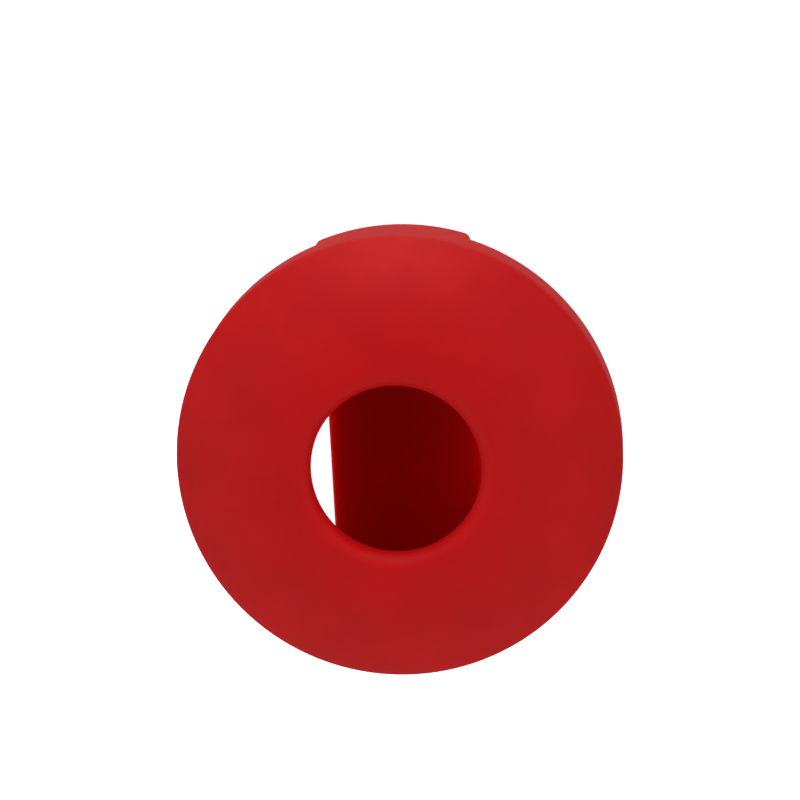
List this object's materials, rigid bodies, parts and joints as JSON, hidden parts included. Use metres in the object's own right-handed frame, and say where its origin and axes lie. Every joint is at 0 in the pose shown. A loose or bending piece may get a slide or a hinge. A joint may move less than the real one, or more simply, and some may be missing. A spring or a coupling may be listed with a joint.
{
  "type": "case opening friction ball",
  "caption": "Soft hollow rubber dome with a round mouth and a rear finger strap, pressed on a screw case back and turned to open it.",
  "frame": {"origin": "centre of the strap's flat back, where the ball rests", "axes": "+Z along the dome's axis, out of the mouth; +Y along the strap; +X across it, through the finger loop"},
  "size_m": [0.07, 0.07, 0.0307],
  "materials": {
    "grip_rubber": "matte, slightly tacky silicone, solid red",
    "frame_rubber": "matte silicone, solid red, a little firmer"
  },
  "bodies": {
    "hoop": {"side_hoop": "frame_rubber", "dome_wall": "grip_rubber", "strap_upper_leg": "frame_rubber", "strap_lower_leg": "frame_rubber"},
    "lip": {"mouth_lip": "grip_rubber"},
    "span": {"strap_span": "frame_rubber"}
  },
  "joints": [
    {"name": "mouth_press", "type": "slide", "parent": "hoop", "child": "lip", "axis": [0, 0, -1], "range_m": [0, 0.004], "stiffness_N_per_m": 4000, "deforming": ["dome_wall"]},
    {"name": "strap_lift", "type": "slide", "parent": "hoop", "child": "span", "axis": [0, 0, -1], "range_m": [0, 0.006], "stiffness_N_per_m": 1000, "deforming": ["strap_upper_leg", "strap_lower_leg"]}
  ]
}
